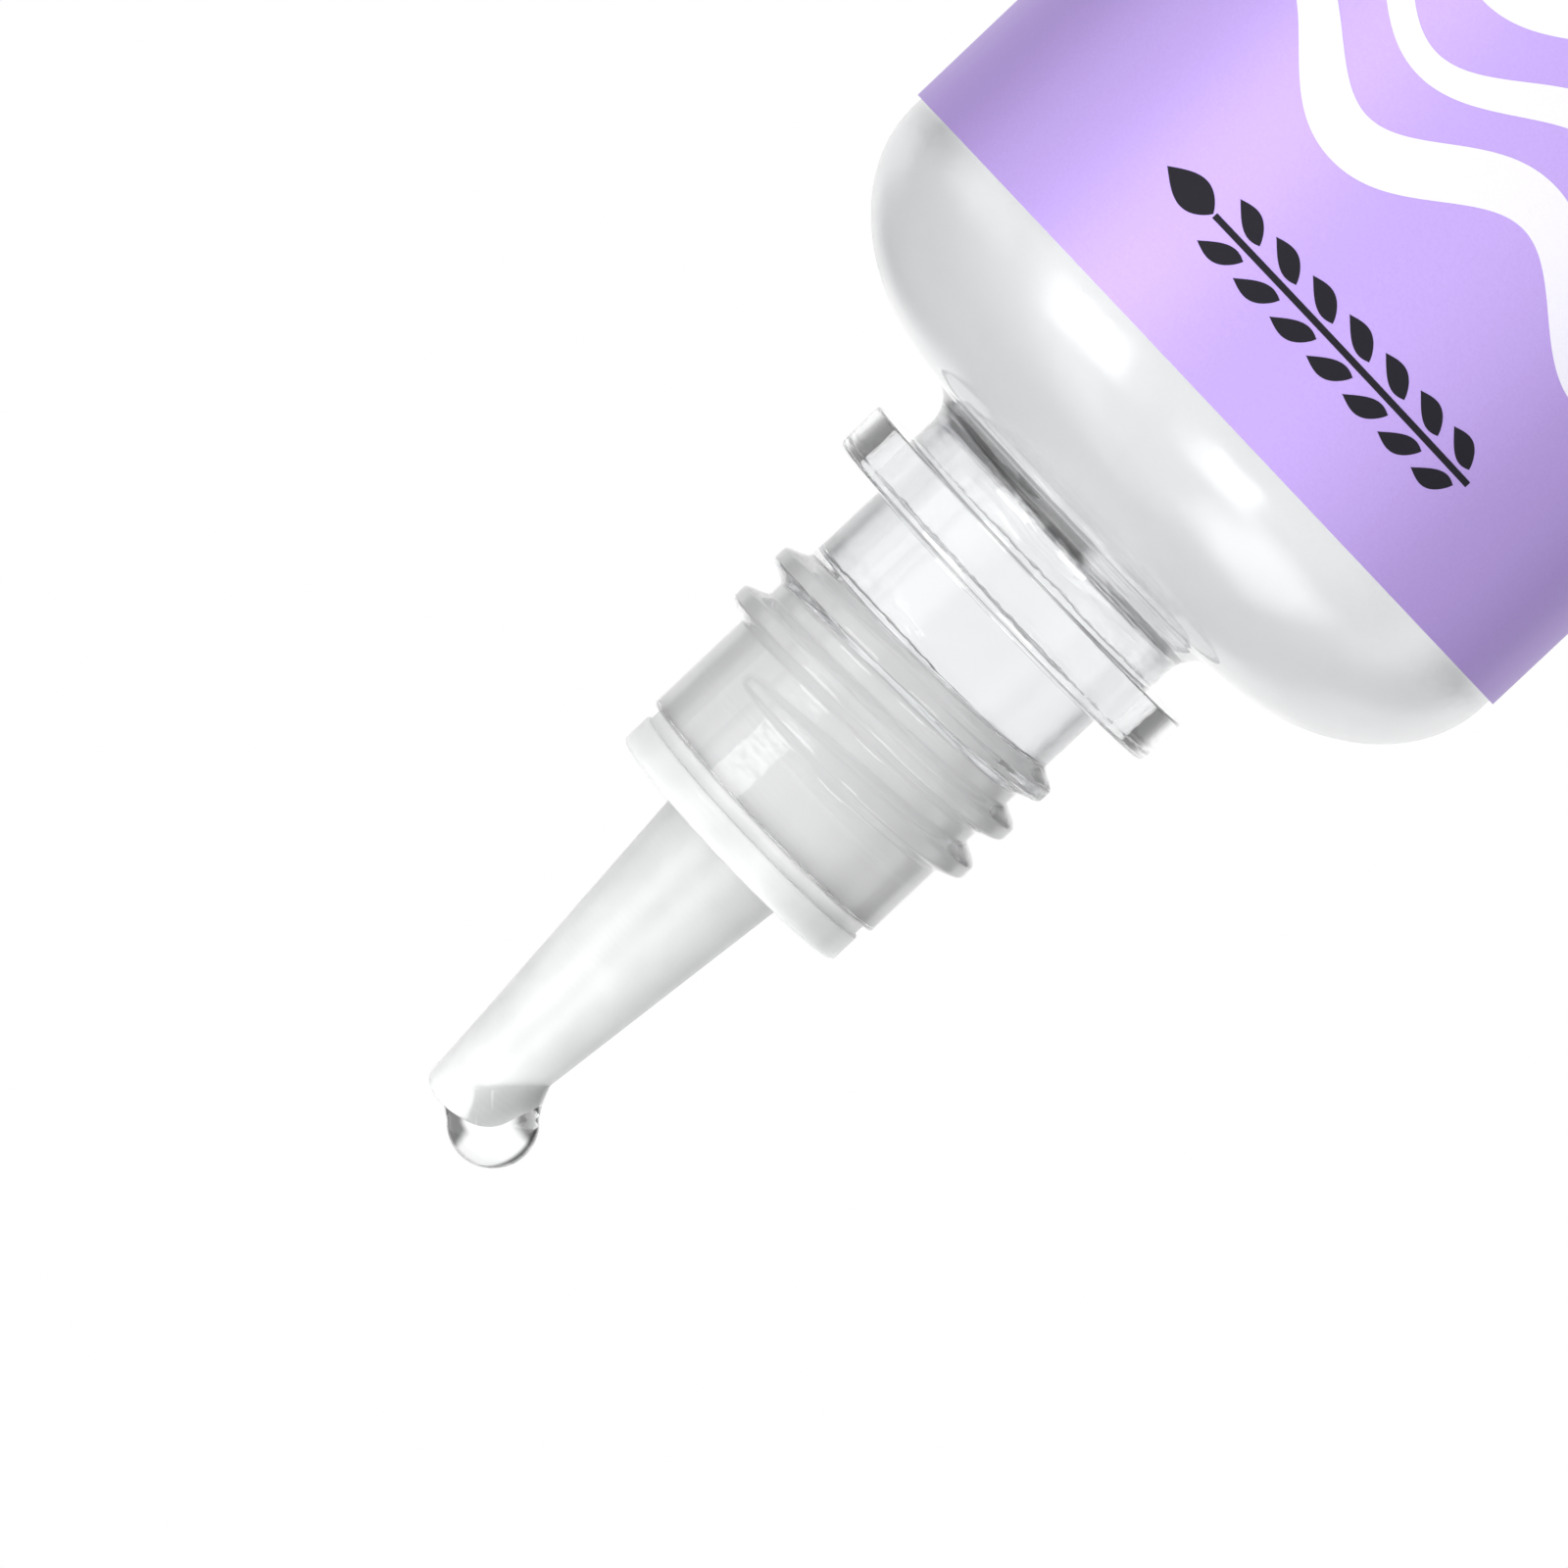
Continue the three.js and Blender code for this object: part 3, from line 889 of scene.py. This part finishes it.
glue_skin = spaced(rounded(inside_corners(wetting, glue_top_z)), lambda p: wide_row)
glue = turned("glue_in_bottle", glue_skin + [Vector((0, glue_top_z))], glue_sides, clear_glue)
uneven(glue.data, lambda r, z: z > base_zone_z and r > shell_middle_r(z) - 1.6)
level = bmesh.new()
level.from_mesh(glue.data)
cut = bmesh.ops.bisect_plane(
    level, geom=level.verts[:] + level.edges[:] + level.faces[:], plane_co=pour_up * level_offset * MM,
    plane_no=pour_up, clear_outer=True,
)
rim = [e for e in cut["geom_cut"] if isinstance(e, bmesh.types.BMEdge)]
bmesh.ops.triangle_fill(level, edges=rim, use_beauty=True)
bmesh.ops.recalc_face_normals(level, faces=level.faces)
level.to_mesh(glue.data)
level.free()
facing_out(glue)
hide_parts("glue_fill")
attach(glue, "bottle")

# %% [markdown]
# ## The hanging drop
# A drop that clings to a slanted spout is a ball of glue with a skirt that thins out up the side
# it runs down. It is built along the line of gravity in the held bottle, wide where it meets the
# plastic and round at the end, and it is one body with the column of glue in the spout.

# %% The drop and the column behind it
drop_middle = Vector((-0.2, 0, 87.89))
drop_way = -pour_up
drop_side = Vector((drop_way.z, 0, -drop_way.x))
ball_r = 2.0
ball_at = 1.88
skirt_at = 0.15
skirt_r = 2.55
column_low_z = plug_low_z + 0.03  # under the top of the bottle's glue, so the two glues meet
column_high_z = cut_z - 0.5
column_sides = 96


def drop_section(t):
    """Distance along gravity, half width and depth share at t from 0, deep inside, to 1, the end."""
    inside, skirt = 0.12, 0.42  # where the neck in the spout ends, and where the skirt does
    spread = 0.35  # the share of the skirt that still widens
    neck_w, flat, full = 1.2, 0.72, 0.97
    if t < inside:
        share = t / inside
        return skirt_at - 0.9 + 0.5 * share, neck_w * math.sqrt(share), flat
    if t < skirt:
        share = (t - inside) / (skirt - inside)
        if share < spread:
            grow = share / spread
            return skirt_at - 0.4 + 0.4 * grow, neck_w + (skirt_r - neck_w) * grow, flat
        ease = share * share * (3 - 2 * share)
        fall = (share - spread) / (1 - spread)
        width = skirt_r + (ball_r - skirt_r) * math.sin(fall * math.pi / 2)
        return skirt_at + (ball_at - skirt_at) * fall, width, flat + (full - flat) * ease
    angle = (t - skirt) / (1 - skirt) * math.pi / 2
    return ball_at + ball_r * math.sin(angle), ball_r * math.cos(angle), full


def drop_mesh(rows, sides):
    """The drop's closed skin."""
    verts, faces = [], []
    for i in range(1, rows):
        along, width, deep = drop_section(i / rows)
        for k in range(sides):
            a = TURN * k / sides
            place = drop_middle + drop_way * along + drop_side * width * math.cos(a)
            verts.append((place + Vector((0, width * deep * math.sin(a), 0))) * MM)
    first = len(verts)
    for t in (0, 1):
        verts.append((drop_middle + drop_way * drop_section(t)[0]) * MM)
    for i in range(rows - 2):
        for k in range(sides):
            a, b = i * sides + k, i * sides + (k + 1) % sides
            faces.append((a, b, b + sides, a + sides))
    last_row = (rows - 2) * sides
    for k in range(sides):
        faces.append((first, (k + 1) % sides, k))
        faces.append((first + 1, last_row + k, last_row + (k + 1) % sides))
    mesh = bpy.data.meshes.new("drop")
    mesh.from_pydata(verts, [], faces)
    return mesh


def column_corners():
    """The glue that fills the plug and the spout's bore."""
    web_z = flange_top_z - web_t
    return [
        (0, column_low_z, 0),
        (plug_in_r + wetting, column_low_z, 0),
        (plug_in_r + wetting, web_z + wetting, 0.4),
        (spout_r(web_z) - cone_wall + bore_entry + wetting, web_z + wetting, 0.3),
        (spout_r(cut_z) - cone_wall + wetting, column_high_z, 0),
        (0, column_high_z, 0),
    ]


column_points = spaced(rounded(column_corners()), lambda p: nozzle_row)
column = turned("glue_column", column_points, column_sides, clear_glue)
lean_end(column.data)
drop = bpy.data.objects.new("drop", drop_mesh(rows=56, sides=72))
bpy.context.scene.collection.objects.link(drop)
drop.data.materials.append(clear_glue)
facing_out(drop)
join = drop.modifiers.new("join", "BOOLEAN")
join.operation = "UNION"
join.solver = "EXACT"
join.object = column
glue_drop = facing_out(finished_copy(drop, "glue_drop_and_column"))
bpy.data.objects.remove(column)
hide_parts("glue_drop")
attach(glue_drop, "nozzle")

# %% [markdown]
# ## The label
# A strip of printed film goes once round the body and laps over itself at the back. Seen from
# above it is a ring that climbs a step, so it is built as that outline, drawn up through the
# label's height. Its upper and lower edges stay crisp: film is cut, not moulded.

# %% The film with its lap
film_in_r = body_r - 0.03  # the adhesive wets the wall, so no air lies between them
film_t = 0.25
lap_deg = 11
lap_at_deg = 135  # behind and to one side, where the glue's lens doesn't magnify it
climb_deg = 8
lap_gap = 0.05
label_steps = 372


def film_r(deg):
    """Inner radius of the film, which climbs over its own beginning near the end of its turn."""
    rise = min(max((deg - (360 - climb_deg)) / climb_deg, 0.0), 1.0)
    return film_in_r + (film_t + lap_gap) * rise * rise * (3 - 2 * rise)


def film_outline():
    """The film seen from above: out along the outer face and back along the inner one."""
    whole = 360 + lap_deg
    points = []
    for way, extra in ((range(label_steps + 1), film_t), (range(label_steps, -1, -1), 0.0)):
        for i in way:
            deg = whole * i / label_steps
            a = math.radians(lap_at_deg - lap_deg / 2 + deg)
            r = film_r(deg) + extra
            points.append((r * math.cos(a), r * math.sin(a)))
    return points


def drawn_up(name, outline, heights, material):
    """A closed solid with one outline all the way up, capped with narrow faces across the film."""
    count = len(outline)
    verts = [(x * MM, y * MM, z * MM) for z in heights for x, y in outline]
    faces = []
    for row in range(len(heights) - 1):
        for i in range(count):
            a, b = row * count + i, row * count + (i + 1) % count
            faces.append((a, b, b + count, a + count))
    top = (len(heights) - 1) * count
    for i in range(count // 2 - 1):
        across = (i, i + 1, count - 2 - i, count - 1 - i)
        faces.append(tuple(reversed(across)))
        faces.append(tuple(top + k for k in across))
    mesh = bpy.data.meshes.new(name)
    mesh.from_pydata(verts, [], faces)
    mesh.materials.append(material)
    piece = bpy.data.objects.new(name, mesh)
    bpy.context.scene.collection.objects.link(piece)
    facing_out(piece)
    mesh.set_sharp_from_angle(angle=math.radians(40))
    return piece


label = drawn_up("label_film_wrap", film_outline(), (label_low.z, label_top_z), label_film)
label.data.materials.append(film_back)
for face in label.data.polygons:
    outward = Vector((face.center.x, face.center.y, 0)).normalized()
    if face.normal.dot(outward) < -0.5:
        face.material_index = 1
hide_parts("label")
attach(label, "bottle")

# %% [markdown]
# ## The printing
# The front carries no words here. A dark leafy sprig takes the small mark's place near the top, and
# big white ribbons, like runs of glue, take the place of large letters. Ink is a layer with a
# thickness, so each mark is a very thin slab bent round the bottle. Each is given by its lower and
# upper edge along the wrap, which keeps every face straight up the bottle and true to its curve.

# %% Marks bent round the bottle
print_r = film_in_r + film_t
ink_lift = 0.004
ink_t = 0.012
ink_step = 0.06
thinnest = 0.01


def printed(name, spans, material):
    """Thin slabs on the label. A span is (start, end, middle line, half width), along the wrap in mm."""
    work = bmesh.new()
    for start, end, middle, half in spans:
        count = math.ceil((end - start) / ink_step)
        rows = []
        for i in range(count + 1):
            u = start + (end - start) * i / count
            a = -math.pi / 2 + u / print_r
            low = middle(u) - max(half(u), thinnest)
            high = middle(u) + max(half(u), thinnest)
            corners = ((low, ink_lift), (high, ink_lift), (high, ink_lift + ink_t), (low, ink_lift + ink_t))
            places = [((print_r + out) * math.cos(a), (print_r + out) * math.sin(a), z) for z, out in corners]
            rows.append([work.verts.new(Vector(place) * MM) for place in places])
        for near, far in zip(rows, rows[1:]):
            for k in range(4):
                work.faces.new((near[k], far[k], far[(k + 1) % 4], near[(k + 1) % 4]))
        work.faces.new(reversed(rows[0]))
        work.faces.new(rows[-1])
    bmesh.ops.recalc_face_normals(work, faces=work.faces)
    mesh = bpy.data.meshes.new(name)
    work.to_mesh(mesh)
    work.free()
    mesh.materials.append(material)
    piece = bpy.data.objects.new(name, mesh)
    bpy.context.scene.collection.objects.link(piece)
    facing_out(piece)
    mesh.set_sharp_from_angle(angle=math.radians(40))
    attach(piece, "bottle")


def leaf(start, long, middle, wide, rise):
    """A leaf, pointed at both ends, fuller near its start, with a middle line that curves away."""

    def share(u):
        return (u - start) / long

    def centre(u):
        return middle + rise * share(u) ** 0.7

    def half(u):
        t = share(u)
        return wide / 2 * (math.sin(math.pi * max(t, 0.0) ** 0.8) if 0 < t < 1 else 0.0)

    return start, start + long, centre, half


def ribbon(start, end, middle, stroke):
    """A flowing ribbon whose width swells and thins, with drawn-out ends."""
    length, swing, draw_out = 15.0, 1.8, 3.0

    def centre(u):
        return middle + swing * math.sin(TURN * u / length)

    def half(u):
        slope = swing * TURN / length * math.cos(TURN * u / length)
        ends = min((u - start) / draw_out, (end - u) / draw_out, 1.0)
        swell = 1 + 0.25 * math.sin(TURN * u / (length * 1.7) + middle)
        return stroke / 2 * math.sqrt(1 + slope * slope) * swell * math.sqrt(max(ends, 0.0))

    return start, end, centre, half


mark_z = label_top_z - 5.35
stem = (-10.4, 5.2, lambda u: mark_z, lambda u: 0.14)
first_leaf, leaf_gap = -9.9, 2.15
leaves = [
    leaf(first_leaf + leaf_gap * pair, long=1.95, middle=mark_z + side * 0.45, wide=0.95, rise=side * 0.75)
    for pair in range(7)
    for side in (-1, 1)
]
end_leaf = leaf(start=5.3, long=2.9, middle=mark_z, wide=1.5, rise=0.0)
printed("print_dark_sprig", [stem, *leaves, end_leaf], dark_ink)
ribbon_z = label_top_z - 13.2
ribbon_gap = 4.3
strokes = (1.9, 1.5, 1.9, 1.2, 1.6)
ribbons = [ribbon(-18, 18, ribbon_z - ribbon_gap * i, stroke) for i, stroke in enumerate(strokes)]
printed("print_white_ribbons", ribbons, white_ink)

# %% [markdown]
# ## Light and floor
# Clear things on white need dark to show their edges. The room is white in front and behind, with
# grey strips to the sides and a dim ceiling, so light that an edge bends away comes from the dark
# parts. A brighter band in front gives the shoulder and the spout a long soft shine. Four soft lamps
# do the rest: a large key from above the held bottle, a fill from below, and two smaller ones, for its
# upper edge and for the nozzle. The floor is pale and fades out, so it draws no line behind the bottle.

# %% The white room
scene = bpy.context.scene
scene.view_settings.view_transform = "Standard"
scene.cycles.max_bounces = 24
scene.cycles.transmission_bounces = 24
scene.cycles.diffuse_bounces = 10
scene.cycles.glossy_bounces = 10


def build_world():
    """White to the eye. Bent and mirrored light finds a bright band in front, and dark flags behind.

    Aside runs from -1, where the drop hangs, to 1 on the other side of the bottle.
    """
    band_gain, edge_loss, drop_side_loss, front_gain = 0.75, 0.4, 0.6, 1.12
    behind_gain, strip_loss, flag_loss = 1.08, 0.95, 0.8
    world = bpy.data.worlds.new("white room")
    world.use_nodes = True
    tree = world.node_tree
    back = tree.nodes["Background"]
    x, y, z = components(tree, tree.nodes.new("ShaderNodeTexCoord").outputs["Generated"])
    level_length = (x * x + y * y + 1e-6).math("SQRT")
    aside = x / level_length
    band = aside.between(0.3, 0.6) * (-aside.between(0.86, 0.95) + 1.0)
    front = band * band_gain - aside.between(0.88, 0.96) * edge_loss + 1.0
    front = front * (-(-aside).between(0.86, 0.98) * drop_side_loss + 1.0) * front_gain
    strip = abs(aside).between(0.6, 0.8) * (-abs(aside).between(0.9, 0.98) + 1.0)
    behind = -strip * strip_loss + behind_gain
    flag_high = x.between(0.1, 0.3) * z.between(0.2, 0.4)
    flag_low = (-x).between(0.05, 0.25) * (-z).between(0.15, 0.3)
    ceiling = z.between(0.5, 0.7)
    flags = flag_high.math("MAXIMUM", flag_low).math("MAXIMUM", ceiling)
    behind = behind * (-flags * flag_loss + 1.0)
    is_front = (-y / level_length).between(-0.12, 0.12)
    shade = behind + (front - behind) * is_front
    seen = Field(tree.nodes.new("ShaderNodeLightPath").outputs["Is Camera Ray"])
    strength = shade + (-shade + 1.0) * seen
    tree.links.new(strength.socket, back.inputs["Strength"])
    back.inputs["Color"].default_value = (1, 1, 1, 1)
    scene.world = world


build_world()
print("room is white with a bright band, grey strips and a dim ceiling")

# %% The lamps and the floor


def soft_lamp(name, place, target_z, side, power):
    """A square soft box that points at a height on the axis, sizes and places in millimetres."""
    target = Vector((0, 0, target_z))
    data = bpy.data.lights.new(name, "AREA")
    data.shape = "RECTANGLE"
    data.size = side * MM
    data.size_y = side * MM
    data.energy = power
    lamp = bpy.data.objects.new(name, data)
    scene.collection.objects.link(lamp)
    lamp.location = Vector(place) * MM
    lamp.rotation_euler = (target - Vector(place)).to_track_quat("-Z", "Y").to_euler()


soft_lamp("key_softbox", (250, -330, 210), target_z=45, side=240, power=0.65)
soft_lamp("fill_softbox", (-120, -330, 200), target_z=45, side=160, power=0.35)
soft_lamp("side_softbox", (420, -40, 140), target_z=45, side=200, power=0.1)
soft_lamp("low_softbox", (-180, -100, 300), target_z=75, side=200, power=0.28)


def build_floor():
    """A pale round floor that fades out at its edge."""
    floor_r, fade_from, fade_to = 0.1, 0.03, 0.09
    mesh = bpy.data.meshes.new("floor")
    work = bmesh.new()
    bmesh.ops.create_circle(work, cap_ends=True, radius=floor_r, segments=96)
    work.to_mesh(mesh)
    work.free()
    floor = bpy.data.objects.new("floor", mesh)
    scene.collection.objects.link(floor)
    floor.location.z = -0.02 * MM
    material, tree, shader = new_material("pale floor", Base_Color=(0.86, 0.86, 0.87, 1), Roughness=0.7)
    x, y, _ = components(tree, tree.nodes.new("ShaderNodeTexCoord").outputs["Object"])
    away = (x * x + y * y).math("SQRT")
    solid_part = -away.between(fade_from, fade_to) + 1.0
    tree.links.new(solid_part.socket, shader.inputs["Alpha"])
    mesh.materials.append(material)
    floor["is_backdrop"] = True


build_floor()
print("four lamps and the floor in place")

# %% [markdown]
# ## The two boxes at the end
# Both boxes, the solid model's and that of what is seen, are printed side by side.

# %% Print the two boxes
seen_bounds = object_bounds()
for name, (low, high) in (("cad", cad_bounds), ("visual", seen_bounds)):
    print(name, [round(v / MM, 2) for v in (*low, *high)])
